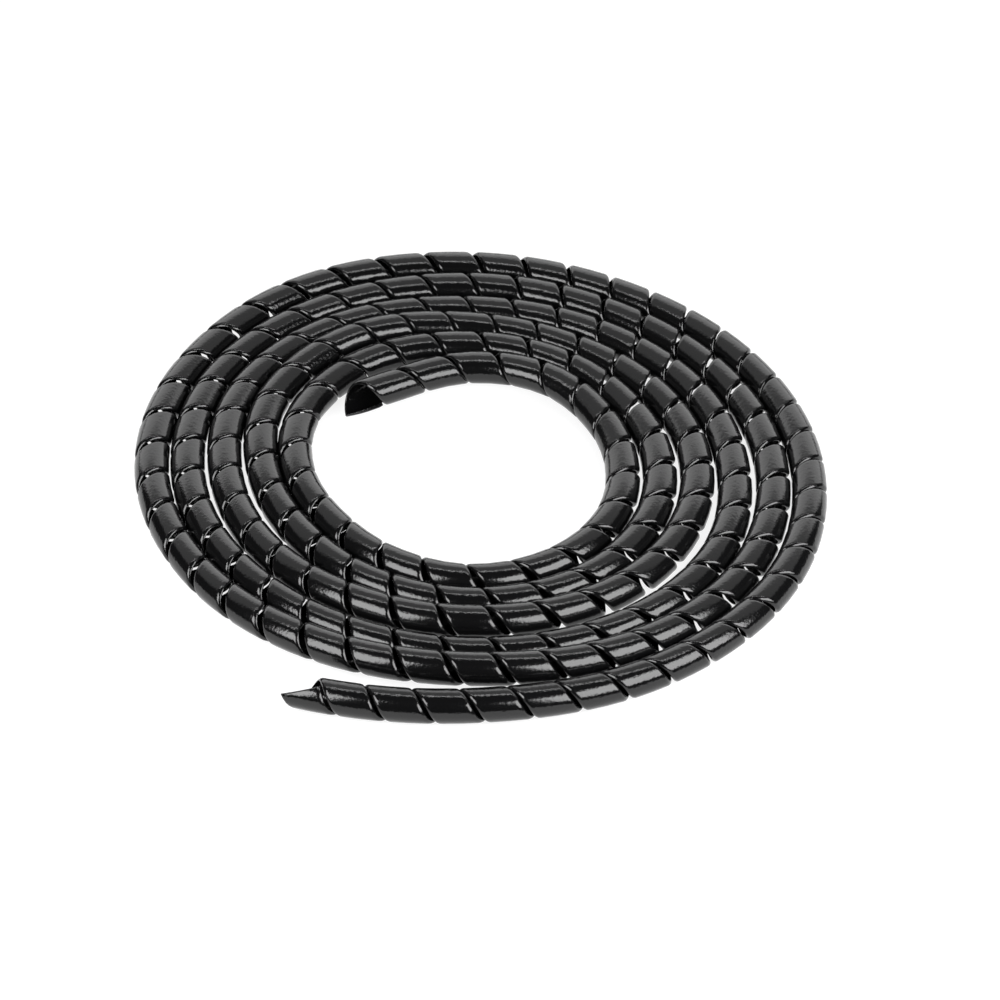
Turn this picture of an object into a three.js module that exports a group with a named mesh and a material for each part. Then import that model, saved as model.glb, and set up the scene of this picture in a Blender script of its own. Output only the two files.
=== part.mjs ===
// Spiral cable wrap: one strip of black plastic wound as a right-handed helix into a slit tube.
// The tube lies on the floor as a loose flat coil of nearly six turns, one strand high.
// Millimetres, +Z up, the front is toward -Y. The coil rests on z = 0.

import * as THREE from 'three';

// The wrap itself.
const outerDiameter = 19;
const wall = 1.1;
const stripWidth = 1.37 * outerDiameter;
const slitClearance = 0.4;

// The coil's route, in outer diameters, read by eye from the photograph.
// A row is one turn from the coil's eye outward, clockwise seen from above.
// It holds the strand's distance from the middle of the coil, at these directions in degrees:
//   150   120    90    60    30     0   -30   -60   -90  -120  -150   180
const routeRadii = [
  [5.05, 4.72, 4.97, 4.85, 4.68, 4.62, 4.79, 5.00, 5.10, 4.90, 4.86, 5.30],
  [5.95, 6.32, 6.04, 5.88, 5.75, 5.75, 5.91, 6.14, 6.15, 5.99, 5.92, 6.34],
  [7.11, 7.35, 7.07, 6.90, 6.86, 6.89, 7.00, 7.17, 7.19, 7.06, 7.16, 7.51],
  [8.15, 8.37, 8.11, 7.96, 7.94, 8.00, 8.36, 8.48, 8.39, 8.25, 8.34, 8.66],
  [9.18, 9.42, 9.34, 9.06, 9.04, 9.18, 9.44, 9.55, 9.42, 9.30, 9.37, 9.76],
  [10.21, 10.65, 10.43, 10.09, 10.06, 10.27, 10.57, 10.65, 10.65, 11.28, 12.5, 14.2],
];
// How far the same points are lifted off the floor, where a strand leans on its neighbour.
const routeLifts = [
  [0.25, 0.20, 0.20, 0.30, 0.10, 0, 0, 0, 0, 0, 0, 0],
  [0, 0.05, 0.18, 0.14, 0, 0, 0, 0, 0, 0, 0, 0],
  [0.08, 0.27, 0.14, 0, 0, 0, 0, 0.10, 0.21, 0.12, 0, 0],
  [0, 0, 0, 0, 0, 0, 0, 0, 0, 0, 0, 0],
  [0, 0, 0, 0, 0, 0, 0, 0.15, 0.34, 0.18, 0, 0],
  [0, 0, 0, 0, 0, 0, 0, 0, 0, 0, 0, 0],
];
// Windings of the strip from the inner end up to each quarter turn of the coil, at these directions:
//   150    60   -30  -120
// They are counted along the top of the strand in the photograph. The wrap is springy, so they
// stand closer together in some places than in others.
const windingCounts = [
  -0.9, 4.2, 9.4, 14.8,
  20.4, 26.9, 33.0, 39.5,
  46.2, 54.1, 61.4, 68.9,
  77.1, 86.0, 94.5, 103.4,
  112.4, 122.3, 131.8, 141.8,
  151.8, 162.5, 174.0, 186.0,
];
const degreesPerCount = 90;
const degreesPerKnot = 30;
const firstKnotDirection = 150;
const innerTipDirection = 142.5;
const outerTipDirection = -118.5;

// Angles round the tube, from its outward side over its top to the side that faces the eye.
// Where a slit crosses the top, at 90 degrees, the strip's middle is half a turn round from it.
const countedAngle = 270;
const cutSpan = 60;
const facetsPerTurn = 8;
const facetAngle = 360 / facetsPerTurn;

const radians = THREE.MathUtils.degToRad;

function smoothValue(values, place) {
  const last = values.length - 1;
  const index = Math.min(Math.max(Math.floor(place), 0), last - 1);
  const before = values[Math.max(index - 1, 0)];
  const left = values[index];
  const right = values[index + 1];
  const after = values[Math.min(index + 2, last)];
  const t = place - index;
  return 0.5 * (2 * left + (right - before) * t
    + (2 * before - 5 * left + 4 * right - after) * t * t
    + (3 * left - before - 3 * right + after) * t * t * t);
}

// The centreline, sampled twice a degree, with its length so far.
const radii = routeRadii.flat();
const lifts = routeLifts.flat();
const samplesPerDegree = 2;

function routePoint(turned) {
  const place = turned / degreesPerKnot;
  const direction = radians(firstKnotDirection - turned);
  const radius = smoothValue(radii, place) * outerDiameter;
  const lift = Math.max(smoothValue(lifts, place), 0) * outerDiameter;
  return new THREE.Vector3(
    radius * Math.cos(direction), radius * Math.sin(direction), outerDiameter / 2 + lift);
}

const degreesCounted = (windingCounts.length - 1) * degreesPerCount;
const samples = [];
let lengthSoFar = 0;
for (let i = 0; i <= degreesCounted * samplesPerDegree; i += 1) {
  const point = routePoint(i / samplesPerDegree);
  if (i > 0) {
    lengthSoFar += point.distanceTo(samples[i - 1].point);
  }
  samples.push({ point, length: lengthSoFar });
}

function lengthAtTurned(turned) {
  const place = turned * samplesPerDegree;
  const index = Math.min(Math.floor(place), samples.length - 2);
  const part = place - index;
  return samples[index].length * (1 - part) + samples[index + 1].length * part;
}

// The two cut ends, as lengths along the centreline.
const fullTurns = 5;
const innerEnd = lengthAtTurned(firstKnotDirection - innerTipDirection);
const outerEnd = lengthAtTurned(fullTurns * 360 + firstKnotDirection - outerTipDirection);

function sampleIndex(length) {
  let low = 0;
  let high = samples.length - 2;
  while (low < high) {
    const middle = Math.ceil((low + high) / 2);
    if (samples[middle].length <= length) {
      low = middle;
    } else {
      high = middle - 1;
    }
  }
  return low;
}

// Centre and outward direction of the tube at a length along the centreline.
function stationAt(length) {
  const index = sampleIndex(length);
  const here = samples[index];
  const next = samples[index + 1];
  const part = (length - here.length) / (next.length - here.length);
  const centre = here.point.clone().lerp(next.point, part);
  const from = samples[Math.max(index - 2, 0)].point;
  const to = samples[Math.min(index + 3, samples.length - 1)].point;
  const outward = new THREE.Vector3(-(to.y - from.y), to.x - from.x, 0).normalize();
  return { centre, outward };
}

// The count of windings against length, as a smooth curve through the counts at the quarter turns.
const countKnots = windingCounts.map((count, i) => ({ count, length: lengthAtTurned(i * degreesPerCount) }));
const spanRates = countKnots.slice(1).map((knot, i) =>
  (knot.count - countKnots[i].count) / (knot.length - countKnots[i].length));
const knotRates = countKnots.map((knot, i) => {
  if (i === 0) {
    return spanRates[0];
  }
  if (i === spanRates.length) {
    return spanRates[i - 1];
  }
  const before = knot.length - countKnots[i - 1].length;
  const after = countKnots[i + 1].length - knot.length;
  return (spanRates[i - 1] * after + spanRates[i] * before) / (before + after);
});

function countAt(length) {
  let i = 0;
  while (i < spanRates.length - 1 && countKnots[i + 1].length < length) {
    i += 1;
  }
  const span = countKnots[i + 1].length - countKnots[i].length;
  const t = (length - countKnots[i].length) / span;
  return countKnots[i].count * (1 + 2 * t) * (1 - t) * (1 - t)
    + countKnots[i + 1].count * (3 - 2 * t) * t * t
    + knotRates[i] * span * t * (1 - t) * (1 - t)
    - knotRates[i + 1] * span * t * t * (1 - t);
}

// Centreline length that one winding takes up, measured half a diameter to either side.
function pitchAt(length) {
  const reach = outerDiameter / 2;
  return 2 * reach / (countAt(length + reach) - countAt(length - reach));
}

// The angle round the tube of the strip's middle, and the length at which it has an angle.
function stripAngleAt(length) {
  return countedAngle + 360 * countAt(length);
}

function stripMiddleAt(angle) {
  let low = innerEnd;
  let high = outerEnd;
  while (high - low > 1e-6 * outerDiameter) {
    const middle = (low + high) / 2;
    if (stripAngleAt(middle) < angle) {
      low = middle;
    } else {
      high = middle;
    }
  }
  return (low + high) / 2;
}

const innerTipAngle = stripAngleAt(innerEnd + stripWidth / 2);
const outerTipAngle = stripAngleAt(outerEnd - stripWidth / 2);

// Corners lie beyond the true radius, so that the flat of each facet is at that radius.
const cornerScale = 1 / Math.cos(radians(facetAngle / 2));
const outerRadius = outerDiameter / 2 * cornerScale;
const innerRadius = (outerDiameter / 2 - wall) * cornerScale;

function tubePoint(length, angle, radius, bulge) {
  const { centre, outward } = stationAt(length);
  const side = radius * Math.cos(radians(angle)) + bulge;
  const up = radius * Math.sin(radians(angle));
  return centre.addScaledVector(outward, side).add(new THREE.Vector3(0, 0, up));
}

// One row runs straight along the tube from the strip's trailing edge to its leading edge.
// Where the windings crowd, its edges stop short of its neighbours by the slit's clearance.
// On the side that faces the eye, its ends draw in so that its middle stays on the tube.
function stripRow(angle, from, to) {
  const middle = stripMiddleAt(angle);
  const bendRadius = Math.hypot(...stationAt(middle).centre.toArray().slice(0, 2));
  const stretch = 1 + outerDiameter / 2 * Math.cos(radians(angle)) / bendRadius;
  const halfWidth = Math.min(stripWidth / stretch, pitchAt(middle) - slitClearance) / 2;
  const start = Math.max(middle + from * halfWidth, innerEnd);
  const end = Math.min(middle + to * halfWidth, outerEnd);
  const bulge = Math.max(-Math.cos(radians(angle)), 0) * halfWidth * halfWidth / (2 * bendRadius);
  return {
    outerStart: tubePoint(start, angle, outerRadius, bulge),
    outerEnd: tubePoint(end, angle, outerRadius, bulge),
    innerEnd: tubePoint(end, angle, innerRadius, bulge),
    innerStart: tubePoint(start, angle, innerRadius, bulge),
  };
}

// Rows from the inner end's square cut, along the whole strip, to the outer end's square cut.
// The cut ends taper over the cut's span, past the last rows that have the strip's full width.
const cutSteps = 2;
const cornerClearance = 8;
const firstCorner = Math.ceil((innerTipAngle + cornerClearance) / facetAngle - 0.5);
const lastCorner = Math.floor((outerTipAngle - cornerClearance) / facetAngle - 0.5);
const rowAngles = [];
for (let step = cutSteps; step > 0; step -= 1) {
  const share = step / cutSteps;
  rowAngles.push({ angle: innerTipAngle - cutSpan * share, from: 2 * share - 1, to: 1 });
}
rowAngles.push({ angle: innerTipAngle, from: -1, to: 1 });
for (let corner = firstCorner; corner <= lastCorner; corner += 1) {
  rowAngles.push({ angle: facetAngle * (corner + 0.5), from: -1, to: 1 });
}
rowAngles.push({ angle: outerTipAngle, from: -1, to: 1 });
for (let step = 1; step <= cutSteps; step += 1) {
  const share = step / cutSteps;
  rowAngles.push({ angle: outerTipAngle + cutSpan * share, from: -1, to: 1 - 2 * share });
}

const positions = [];
const indices = [];

function addVertex(point) {
  positions.push(point.x, point.y, point.z);
  return positions.length / 3 - 1;
}

function addTriangle(a, b, c) {
  if (a !== b && b !== c && c !== a) {
    indices.push(a, b, c);
  }
}

function addQuad(a, b, c, d) {
  addTriangle(a, b, c);
  addTriangle(a, c, d);
}

const rows = rowAngles.map(({ angle, from, to }) => {
  const row = stripRow(angle, from, to);
  const pointed = Math.abs(to - from) < 1e-6;
  const outerStart = addVertex(row.outerStart);
  const innerStart = addVertex(row.innerStart);
  const outerEnd = pointed ? outerStart : addVertex(row.outerEnd);
  const innerEnd = pointed ? innerStart : addVertex(row.innerEnd);
  return { outerStart, outerEnd, innerEnd, innerStart };
});

for (let i = 1; i < rows.length; i += 1) {
  const a = rows[i - 1];
  const b = rows[i];
  addQuad(a.outerStart, b.outerStart, b.outerEnd, a.outerEnd);
  addQuad(a.innerEnd, b.innerEnd, b.innerStart, a.innerStart);
  addQuad(a.innerStart, b.innerStart, b.outerStart, a.outerStart);
  addQuad(a.outerEnd, b.outerEnd, b.innerEnd, a.innerEnd);
}

const geometry = new THREE.BufferGeometry();
geometry.setAttribute('position', new THREE.Float32BufferAttribute(positions, 3));
geometry.setIndex(indices);
geometry.computeBoundingBox();
const box = geometry.boundingBox;
geometry.translate(-(box.min.x + box.max.x) / 2, -(box.min.y + box.max.y) / 2, -box.min.z);

const blackPlastic = new THREE.MeshStandardMaterial({ color: 0x101010, roughness: 0.3, metalness: 0 });
blackPlastic.name = 'black_plastic';
const spiralWrap = new THREE.Mesh(geometry, blackPlastic);
spiralWrap.name = 'spiral_wrap';

const group = new THREE.Group();
group.name = 'spiral_cable_wrap';
group.add(spiralWrap);

export default group;
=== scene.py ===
"""Spiral cable wrap: a black, glossy strip wound into a slit tube, lying as a loose flat coil.

The CAD solid has eight flats to a winding. This scene lays a round, finer strip along the same route.
"""

import math

import bpy
import numpy as np
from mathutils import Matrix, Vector


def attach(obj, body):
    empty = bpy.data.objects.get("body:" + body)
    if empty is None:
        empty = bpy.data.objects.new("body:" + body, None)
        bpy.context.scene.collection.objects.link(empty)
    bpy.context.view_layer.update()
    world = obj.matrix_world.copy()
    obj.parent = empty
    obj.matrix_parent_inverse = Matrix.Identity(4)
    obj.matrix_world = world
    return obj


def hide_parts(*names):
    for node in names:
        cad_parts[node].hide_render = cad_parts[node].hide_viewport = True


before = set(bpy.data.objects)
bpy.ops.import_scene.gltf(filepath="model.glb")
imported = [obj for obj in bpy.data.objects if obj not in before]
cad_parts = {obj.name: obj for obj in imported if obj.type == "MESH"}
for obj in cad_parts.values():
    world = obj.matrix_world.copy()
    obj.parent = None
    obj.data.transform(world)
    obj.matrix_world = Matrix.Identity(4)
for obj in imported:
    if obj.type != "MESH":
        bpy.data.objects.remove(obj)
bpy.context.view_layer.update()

MM = 0.001
FULL_TURN = 360

# The wrap, as in the CAD source, in metres.
OUTER_DIAMETER = 19 * MM
RADIUS = OUTER_DIAMETER / 2
WALL = 1.1 * MM
STRIP_WIDTH = 1.37 * OUTER_DIAMETER
SLIT_CLEARANCE = 0.4 * MM

# The coil's route, as in the CAD source: a row is one turn, clockwise from direction 150 degrees.
# It holds the strand's distance from the middle of the coil every 30 degrees, in outer diameters.
ROUTE_RADII = [
    [5.05, 4.72, 4.97, 4.85, 4.68, 4.62, 4.79, 5.00, 5.10, 4.90, 4.86, 5.30],
    [5.95, 6.32, 6.04, 5.88, 5.75, 5.75, 5.91, 6.14, 6.15, 5.99, 5.92, 6.34],
    [7.11, 7.35, 7.07, 6.90, 6.86, 6.89, 7.00, 7.17, 7.19, 7.06, 7.16, 7.51],
    [8.15, 8.37, 8.11, 7.96, 7.94, 8.00, 8.36, 8.48, 8.39, 8.25, 8.34, 8.66],
    [9.18, 9.42, 9.34, 9.06, 9.04, 9.18, 9.44, 9.55, 9.42, 9.30, 9.37, 9.76],
    [10.21, 10.65, 10.43, 10.09, 10.06, 10.27, 10.57, 10.65, 10.65, 11.28, 12.5, 14.2],
]
# How far the strand is lifted off the floor at the same places, in outer diameters.
ROUTE_LIFTS = [
    [0.25, 0.20, 0.20, 0.30, 0.10, 0, 0, 0, 0, 0, 0, 0],
    [0, 0.05, 0.18, 0.14, 0, 0, 0, 0, 0, 0, 0, 0],
    [0.08, 0.27, 0.14, 0, 0, 0, 0, 0.10, 0.21, 0.12, 0, 0],
    [0, 0, 0, 0, 0, 0, 0, 0, 0, 0, 0, 0],
    [0, 0, 0, 0, 0, 0, 0, 0.15, 0.34, 0.18, 0, 0],
    [0, 0, 0, 0, 0, 0, 0, 0, 0, 0, 0, 0],
]
# Windings from the inner end up to each quarter turn, at directions 150, 60, -30 and -120.
WINDING_COUNTS = [
    -0.9, 4.2, 9.4, 14.8,
    20.4, 26.9, 33.0, 39.5,
    46.2, 54.1, 61.4, 68.9,
    77.1, 86.0, 94.5, 103.4,
    112.4, 122.3, 131.8, 141.8,
    151.8, 162.5, 174.0, 186.0,
]
DEGREES_PER_COUNT = 90
DEGREES_PER_KNOT = 30
FIRST_KNOT_DIRECTION = 150
INNER_TIP_DIRECTION = 142.5
OUTER_TIP_DIRECTION = -118.5
WHOLE_TURNS = 5

# Angles round the tube, from its outward side over its top to the side that faces the coil's eye.
# Where a slit crosses the top, at 90 degrees, the strip's middle is half a turn round from it.
COUNTED_ANGLE = 270
CUT_SPAN = 60


def smooth_values(knots, places):
    """A Catmull-Rom curve through the knots, at places counted in knots."""
    last = len(knots) - 1
    index = np.clip(np.floor(places).astype(int), 0, last - 1)
    before = knots[np.maximum(index - 1, 0)]
    left = knots[index]
    right = knots[index + 1]
    after = knots[np.minimum(index + 2, last)]
    t = places - index
    return 0.5 * (
        2 * left
        + (right - before) * t
        + (2 * before - 5 * left + 4 * right - after) * t**2
        + (3 * left - before - 3 * right + after) * t**3
    )


# The centreline, twice a degree, about the middle of the coil.
SAMPLES_PER_DEGREE = 2
degrees_counted = (len(WINDING_COUNTS) - 1) * DEGREES_PER_COUNT
turned = np.arange(degrees_counted * SAMPLES_PER_DEGREE + 1) / SAMPLES_PER_DEGREE
direction = np.radians(FIRST_KNOT_DIRECTION - turned)
radii = smooth_values(np.ravel(ROUTE_RADII), turned / DEGREES_PER_KNOT) * OUTER_DIAMETER
lifts = smooth_values(np.ravel(ROUTE_LIFTS), turned / DEGREES_PER_KNOT).clip(0) * OUTER_DIAMETER
line = np.stack([radii * np.cos(direction), radii * np.sin(direction), RADIUS + lifts], axis=1)
along = np.gradient(line, axis=0)
outward = np.stack([-along[:, 1], along[:, 0], 0 * along[:, 0]], axis=1)
outward /= np.linalg.norm(outward, axis=1)[:, None]
lengths = np.concatenate([[0], np.cumsum(np.linalg.norm(np.diff(line, axis=0), axis=1))])

# The wrap spreads sideways a little where its neighbours leave it room: half the room to the next turn
# outward and to the turn before, from a plain round section up to the most that it spreads.
MOST_SPREAD = 1.07
samples_per_turn = FULL_TURN * SAMPLES_PER_DEGREE
room = np.full(len(radii), 2 * OUTER_DIAMETER)
room[:-samples_per_turn] = (radii[samples_per_turn:] - radii[:-samples_per_turn]) / 2
spread_outward = np.clip(room / RADIUS, 1, MOST_SPREAD)
spread_inward = np.full(len(radii), MOST_SPREAD)
spread_inward[samples_per_turn:] = spread_outward[:-samples_per_turn]

# The two cut ends, as lengths along the centreline.
inner_end = np.interp(FIRST_KNOT_DIRECTION - INNER_TIP_DIRECTION, turned, lengths)
turned_at_tail = WHOLE_TURNS * FULL_TURN + FIRST_KNOT_DIRECTION - OUTER_TIP_DIRECTION
outer_end = np.interp(turned_at_tail, turned, lengths)
on_strand = (lengths >= inner_end) & (lengths <= outer_end)

# The row's origin is the middle of the coil's box in plan.
sides = np.concatenate([line + RADIUS * outward, line - RADIUS * outward])[np.tile(on_strand, 2)]
box_middle = (sides.min(axis=0) + sides.max(axis=0)) / 2
line[:, :2] -= box_middle[:2]
coil_middle = Vector((-box_middle[0], -box_middle[1], 0))


def at_length(values, length):
    """A quantity of the route, such as its points, at lengths along it."""
    return np.stack([np.interp(length, lengths, values[:, k]) for k in range(3)], axis=-1)


# The camera stands where the photograph was taken from: 39.5 degrees up, about 2.9 m away.
# The middle of the coil's eye, half a diameter above the floor, shows at the pixel EYE_PIXEL.
ELEVATION = math.radians(39.5)
DIAMETERS_AWAY = 150
DISTANCE = DIAMETERS_AWAY * OUTER_DIAMETER
IMAGE_SIZE = 1000
PIXELS_PER_DIAMETER = 32.75
FOCAL_PIXELS = DIAMETERS_AWAY * PIXELS_PER_DIAMETER
EYE_PIXEL = (471.5, 472.5)
SENSOR_WIDTH = 36


def add_camera(target):
    """The photograph's camera, with the target at its pixel."""
    camera_data = bpy.data.cameras.new("photo_camera")
    camera_data.sensor_width = SENSOR_WIDTH
    camera_data.lens = SENSOR_WIDTH * FOCAL_PIXELS / IMAGE_SIZE
    camera_data.clip_start = 0.05
    camera_data.clip_end = 50
    camera = bpy.data.objects.new("photo_camera", camera_data)
    bpy.context.collection.objects.link(camera)
    bpy.context.scene.camera = camera

    view_direction = Vector((0, math.cos(ELEVATION), -math.sin(ELEVATION)))
    view_up = Vector((0, math.sin(ELEVATION), math.cos(ELEVATION)))
    offset_right = (EYE_PIXEL[0] - IMAGE_SIZE / 2) / FOCAL_PIXELS
    offset_up = (IMAGE_SIZE / 2 - EYE_PIXEL[1]) / FOCAL_PIXELS
    aim = view_direction + offset_right * Vector((1, 0, 0)) + offset_up * view_up
    camera.location = target - DISTANCE * aim
    camera.rotation_mode = "QUATERNION"
    camera.rotation_quaternion = view_direction.to_track_quat("-Z", "Y")


add_camera(coil_middle + Vector((0, 0, RADIUS)))

# The count of windings against length, as a smooth curve through the counts, as in the CAD source.
count_lengths = np.interp(np.arange(len(WINDING_COUNTS)) * DEGREES_PER_COUNT, turned, lengths)
spans = np.diff(count_lengths)
span_rates = np.diff(WINDING_COUNTS) / spans
inner_rates = (span_rates[:-1] * spans[1:] + span_rates[1:] * spans[:-1]) / (spans[:-1] + spans[1:])
knot_rates = np.concatenate([span_rates[:1], inner_rates, span_rates[-1:]])


def counts_at(length):
    """Windings from the inner end up to lengths along the centreline."""
    counts = np.array(WINDING_COUNTS)
    index = np.clip(np.searchsorted(count_lengths, length) - 1, 0, len(spans) - 1)
    t = (length - count_lengths[index]) / spans[index]
    return (
        counts[index] * (1 + 2 * t) * (1 - t)**2
        + counts[index + 1] * (3 - 2 * t) * t**2
        + knot_rates[index] * spans[index] * t * (1 - t)**2
        - knot_rates[index + 1] * spans[index] * t**2 * (1 - t)
    )


# The angle round the tube that the strip's middle has, at close steps along the centreline.
FINE_STEPS = 40000
fine_lengths = np.linspace(inner_end, outer_end, FINE_STEPS)
fine_angles = COUNTED_ANGLE + FULL_TURN * counts_at(fine_lengths)
inner_tip_angle = np.interp(inner_end + STRIP_WIDTH / 2, fine_lengths, fine_angles)
outer_tip_angle = np.interp(outer_end - STRIP_WIDTH / 2, fine_lengths, fine_angles)

# The strip's edges are rounded and curl inward, so each winding looks like a barrel.
# A point is (inset from the edge, depth below the round surface), in millimetres.
EDGE_OUTSIDE = [
    (0.00, 1.80), (0.10, 1.46), (0.42, 1.00), (0.90, 0.57), (1.50, 0.24), (2.20, 0.07), (3.00, 0.01),
]
EDGE_INSIDE = [(0.22, 2.02), (1.15, 1.62), (3.00, WALL / MM)]
LOW_EDGE = -1
MIDDLE = 0
HIGH_EDGE = 1


def strip_section():
    """The strip's section as rows of (the edge that the point belongs to, inset, depth), once round."""
    rows = [(LOW_EDGE, inset * MM, depth * MM) for inset, depth in EDGE_OUTSIDE]
    rows.append((MIDDLE, 0, 0))
    rows += [(HIGH_EDGE, inset * MM, depth * MM) for inset, depth in reversed(EDGE_OUTSIDE)]
    rows += [(HIGH_EDGE, inset * MM, depth * MM) for inset, depth in EDGE_INSIDE]
    rows += [(LOW_EDGE, inset * MM, depth * MM) for inset, depth in reversed(EDGE_INSIDE)]
    return np.array(rows)


# One row of points for each step round the tube, from cut end to cut end.
# Over the span of a cut the strip narrows from its full width to nearly a point.
ROWS_PER_TURN = 24
ROWS_PER_CUT = 6
CUT_POINT = 0.995
whole_rows = int((outer_tip_angle - inner_tip_angle) / FULL_TURN * ROWS_PER_TURN) + 1
row_angles = np.concatenate([
    np.linspace(inner_tip_angle - CUT_SPAN, inner_tip_angle, ROWS_PER_CUT + 1)[:-1],
    np.linspace(inner_tip_angle, outer_tip_angle, whole_rows),
    np.linspace(outer_tip_angle, outer_tip_angle + CUT_SPAN, ROWS_PER_CUT + 1)[1:],
])
low_share = np.clip(2 * (inner_tip_angle - row_angles) / CUT_SPAN - 1, -1, CUT_POINT)
high_share = np.clip(1 - 2 * (row_angles - outer_tip_angle) / CUT_SPAN, -CUT_POINT, 1)

# The strip's half width along the centreline: the bend stretches its outward side, and it stops short
# of the next winding where the windings crowd.
middles = np.interp(row_angles, fine_angles, fine_lengths)
bend_radius = np.hypot(*(at_length(line, middles) - np.array(coil_middle))[:, :2].T)
stretch = 1 + RADIUS * np.cos(np.radians(row_angles)) / bend_radius
pitches = OUTER_DIAMETER / (counts_at(middles + RADIUS) - counts_at(middles - RADIUS))
half_widths = np.minimum(STRIP_WIDTH / stretch, pitches - SLIT_CLEARANCE) / 2

# Where the strip is narrow, each rounded edge takes at most this share of half of it.
EDGE_SHARE = 0.98


def strip_row(section, angle, low, high, middle, half_width):
    """One row of the strip's points, and their places on the flat strip in metres."""
    edge = section[:, 0]
    start = middle + low * half_width
    end = middle + high * half_width
    inset = np.minimum(section[:, 1], (end - start) / 2 * EDGE_SHARE)
    place = np.full(len(section), (start + end) / 2)
    place[edge == LOW_EDGE] = (start + inset)[edge == LOW_EDGE]
    place[edge == HIGH_EDGE] = (end - inset)[edge == HIGH_EDGE]
    place = place.clip(inner_end, outer_end)
    radius = RADIUS - section[:, 2]
    across = math.cos(math.radians(angle))
    spread = np.interp(place, lengths, spread_outward if across > 0 else spread_inward)
    points = at_length(line, place) + at_length(outward, place) * (radius * across * spread)[:, None]
    points[:, 2] += radius * math.sin(math.radians(angle))
    along_strip = angle / FULL_TURN * math.pi * OUTER_DIAMETER
    return points, np.stack([place - middle, np.full(len(place), along_strip)], axis=1)


def strip_faces(row_count, point_count):
    """Quads between neighbouring rows, and a face over each cut end."""
    faces = []
    for row in range(row_count - 1):
        here = row * point_count
        there = here + point_count
        for point in range(point_count):
            after = (point + 1) % point_count
            faces.append((here + point, here + after, there + after, there + point))
    faces.append(tuple(range(point_count))[::-1])
    faces.append(tuple(range((row_count - 1) * point_count, row_count * point_count)))
    return faces


def make_strip():
    """The wrap as one closed mesh, with its flat strip as the UV map."""
    section = strip_section()
    vertices = []
    surface_uv = []
    for row in zip(row_angles, low_share, high_share, middles, half_widths):
        points, uv = strip_row(section, *row)
        vertices.append(points)
        surface_uv.append(uv)
    faces = strip_faces(len(vertices), len(section))

    mesh = bpy.data.meshes.new("spiral_wrap_strip")
    mesh.from_pydata(np.concatenate(vertices).tolist(), [], faces)
    mesh.shade_smooth()
    uv_layer = mesh.uv_layers.new(name="strip")
    corner_vertices = np.zeros(len(mesh.loops), dtype=np.int32)
    mesh.loops.foreach_get("vertex_index", corner_vertices)
    corner_uv = np.concatenate(surface_uv)[corner_vertices]
    uv_layer.data.foreach_set("uv", corner_uv.ravel().astype(np.float32))
    strip = bpy.data.objects.new("spiral_wrap_strip", mesh)
    bpy.context.collection.objects.link(strip)
    return strip


strip = make_strip()
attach(strip, "root")
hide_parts("spiral_wrap")


def noise(material, vector, scale, detail):
    """A noise pattern over the places that the vector gives."""
    node = material.node_tree.nodes.new("ShaderNodeTexNoise")
    node.inputs["Scale"].default_value = scale
    node.inputs["Detail"].default_value = detail
    material.node_tree.links.new(vector, node.inputs["Vector"])
    return node.outputs["Fac"]


def bump(material, height, strength, distance):
    """A bump of the surface by a pattern."""
    node = material.node_tree.nodes.new("ShaderNodeBump")
    node.inputs["Strength"].default_value = strength
    node.inputs["Distance"].default_value = distance
    material.node_tree.links.new(height, node.inputs["Height"])
    return node


def black_plastic():
    """Glossy black plastic, with the fine lines that the die leaves along the strip and a soft ripple."""
    plastic = bpy.data.materials.new("black_plastic")
    plastic.use_nodes = True
    nodes = plastic.node_tree.nodes
    links = plastic.node_tree.links
    shader = nodes["Principled BSDF"]
    shader.inputs["Base Color"].default_value = (0.0026, 0.0026, 0.0028, 1)
    shader.inputs["IOR"].default_value = 1.52

    # A die line is half a millimetre wide and about 14 mm long.
    flat_strip = nodes.new("ShaderNodeUVMap")
    flat_strip.uv_map = "strip"
    line_size = nodes.new("ShaderNodeMapping")
    line_size.inputs["Scale"].default_value = (1 / (0.5 * MM), 1 / (14 * MM), 1)
    links.new(flat_strip.outputs["UV"], line_size.inputs["Vector"])
    die_lines = noise(plastic, line_size.outputs["Vector"], scale=1, detail=2)
    position = nodes.new("ShaderNodeTexCoord")
    ripple = noise(plastic, position.outputs["Object"], scale=600, detail=3)

    roughness = nodes.new("ShaderNodeMapRange")
    roughness.inputs["To Min"].default_value = 0.09
    roughness.inputs["To Max"].default_value = 0.17
    links.new(die_lines, roughness.inputs["Value"])
    links.new(roughness.outputs["Result"], shader.inputs["Roughness"])
    line_bump = bump(plastic, die_lines, strength=0.35, distance=0.03 * MM)
    ripple_bump = bump(plastic, ripple, strength=1, distance=0.12 * MM)
    links.new(line_bump.outputs["Normal"], ripple_bump.inputs["Normal"])
    links.new(ripple_bump.outputs["Normal"], shader.inputs["Normal"])
    return plastic


strip.data.materials.append(black_plastic())


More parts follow.
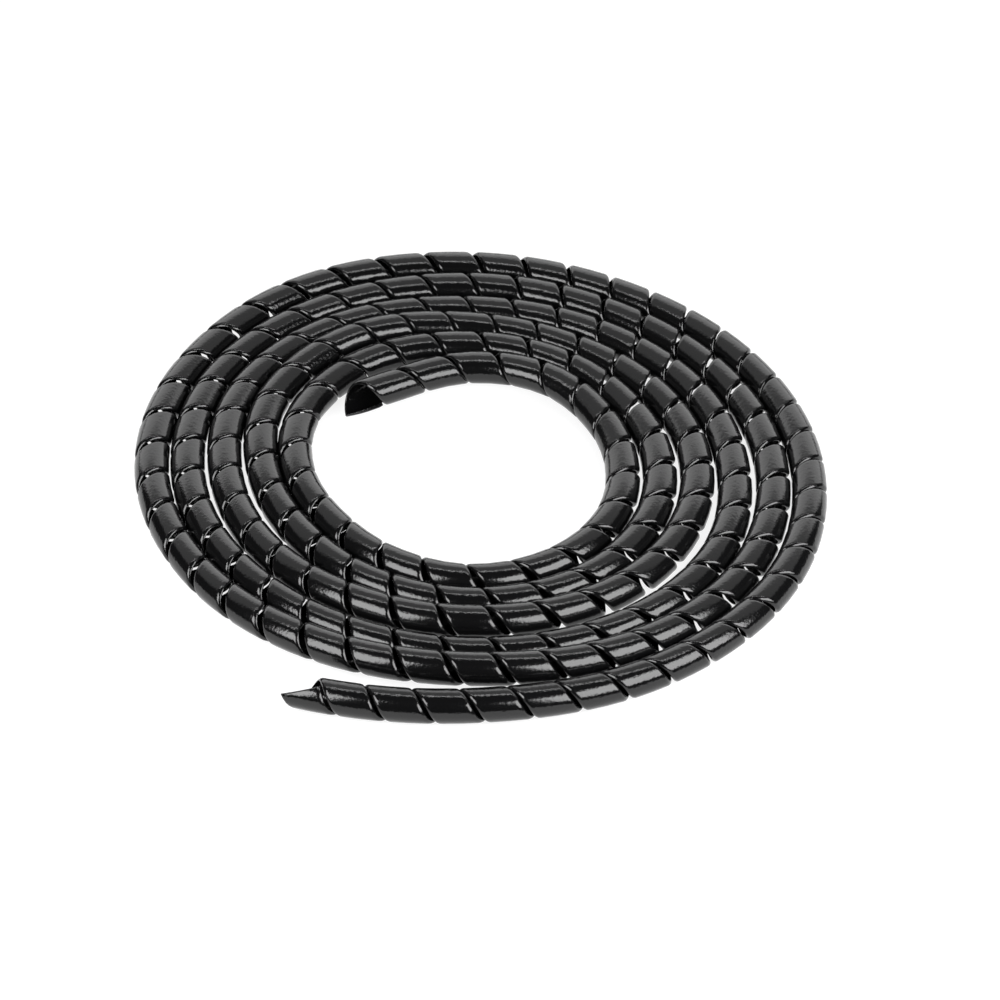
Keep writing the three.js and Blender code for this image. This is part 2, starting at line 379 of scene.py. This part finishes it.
def white_floor(half_size):
    """A plain white floor, which glows a little so that it stays white between the strands."""
    floor_mesh = bpy.data.meshes.new("studio_floor")
    corners = [(-half_size, -half_size, 0), (half_size, -half_size, 0),
               (half_size, half_size, 0), (-half_size, half_size, 0)]
    floor_mesh.from_pydata(corners, [], [(0, 1, 2, 3)])
    floor = bpy.data.objects.new("studio_floor", floor_mesh)
    bpy.context.collection.objects.link(floor)
    material = bpy.data.materials.new("white_floor")
    material.use_nodes = True
    shader = material.node_tree.nodes["Principled BSDF"]
    shader.inputs["Base Color"].default_value = (0.25, 0.25, 0.25, 1)
    shader.inputs["Emission Color"].default_value = (1, 1, 1, 1)
    shader.inputs["Emission Strength"].default_value = 0.85
    shader.inputs["Roughness"].default_value = 0.9
    shader.inputs["Specular IOR Level"].default_value = 0.1
    floor_mesh.materials.append(material)
    return floor


white_floor(half_size=6)


def area_light(name, place, toward, width, height, radiance):
    """A rectangular light at a place, facing along a direction."""
    light_data = bpy.data.lights.new(name, "AREA")
    light_data.shape = "RECTANGLE"
    light_data.size = width
    light_data.size_y = height
    light_data.energy = radiance * math.pi * width * height
    light = bpy.data.objects.new(name, light_data)
    bpy.context.collection.objects.link(light)
    light.location = place
    light.rotation_mode = "QUATERNION"
    light.rotation_quaternion = Vector(toward).to_track_quat("-Z", "Y")


def softbox(name, azimuth, elevation, distance, width, height, radiance):
    """A rectangular light that faces the coil, azimuth counted from +X toward +Y."""
    a = math.radians(azimuth)
    e = math.radians(elevation)
    place = distance * Vector((math.cos(a) * math.cos(e), math.sin(a) * math.cos(e), math.sin(e)))
    area_light(name, place, -place, width, height, radiance)


# A light tent: a bright back wall, a ceiling over the back half with a lamp along its front edge,
# and a softbox on either side of the camera.
area_light("back_wall", place=(0, 1.0, 0.50), toward=(0, -1, 0), width=2.4, height=0.80, radiance=1.75)
area_light("ceiling", place=(0, 0.58, 0.90), toward=(0, 0, -1), width=2.4, height=0.80, radiance=0.6)
area_light("front_edge_lamp", place=(0, 0.15, 0.89), toward=(0, 0, -1), width=1.0, height=0.045, radiance=11)
softbox("right_softbox", azimuth=-42, elevation=33, distance=0.65, width=0.62, height=0.36, radiance=8)
softbox("left_softbox", azimuth=-136, elevation=33, distance=0.65, width=0.36, height=0.36, radiance=8)

world = bpy.data.worlds.new("studio")
world.use_nodes = True
world.node_tree.nodes["Background"].inputs["Color"].default_value = (1, 1, 1, 1)
world.node_tree.nodes["Background"].inputs["Strength"].default_value = 0.04
bpy.context.scene.world = world
bpy.context.scene.view_settings.view_transform = "Standard"
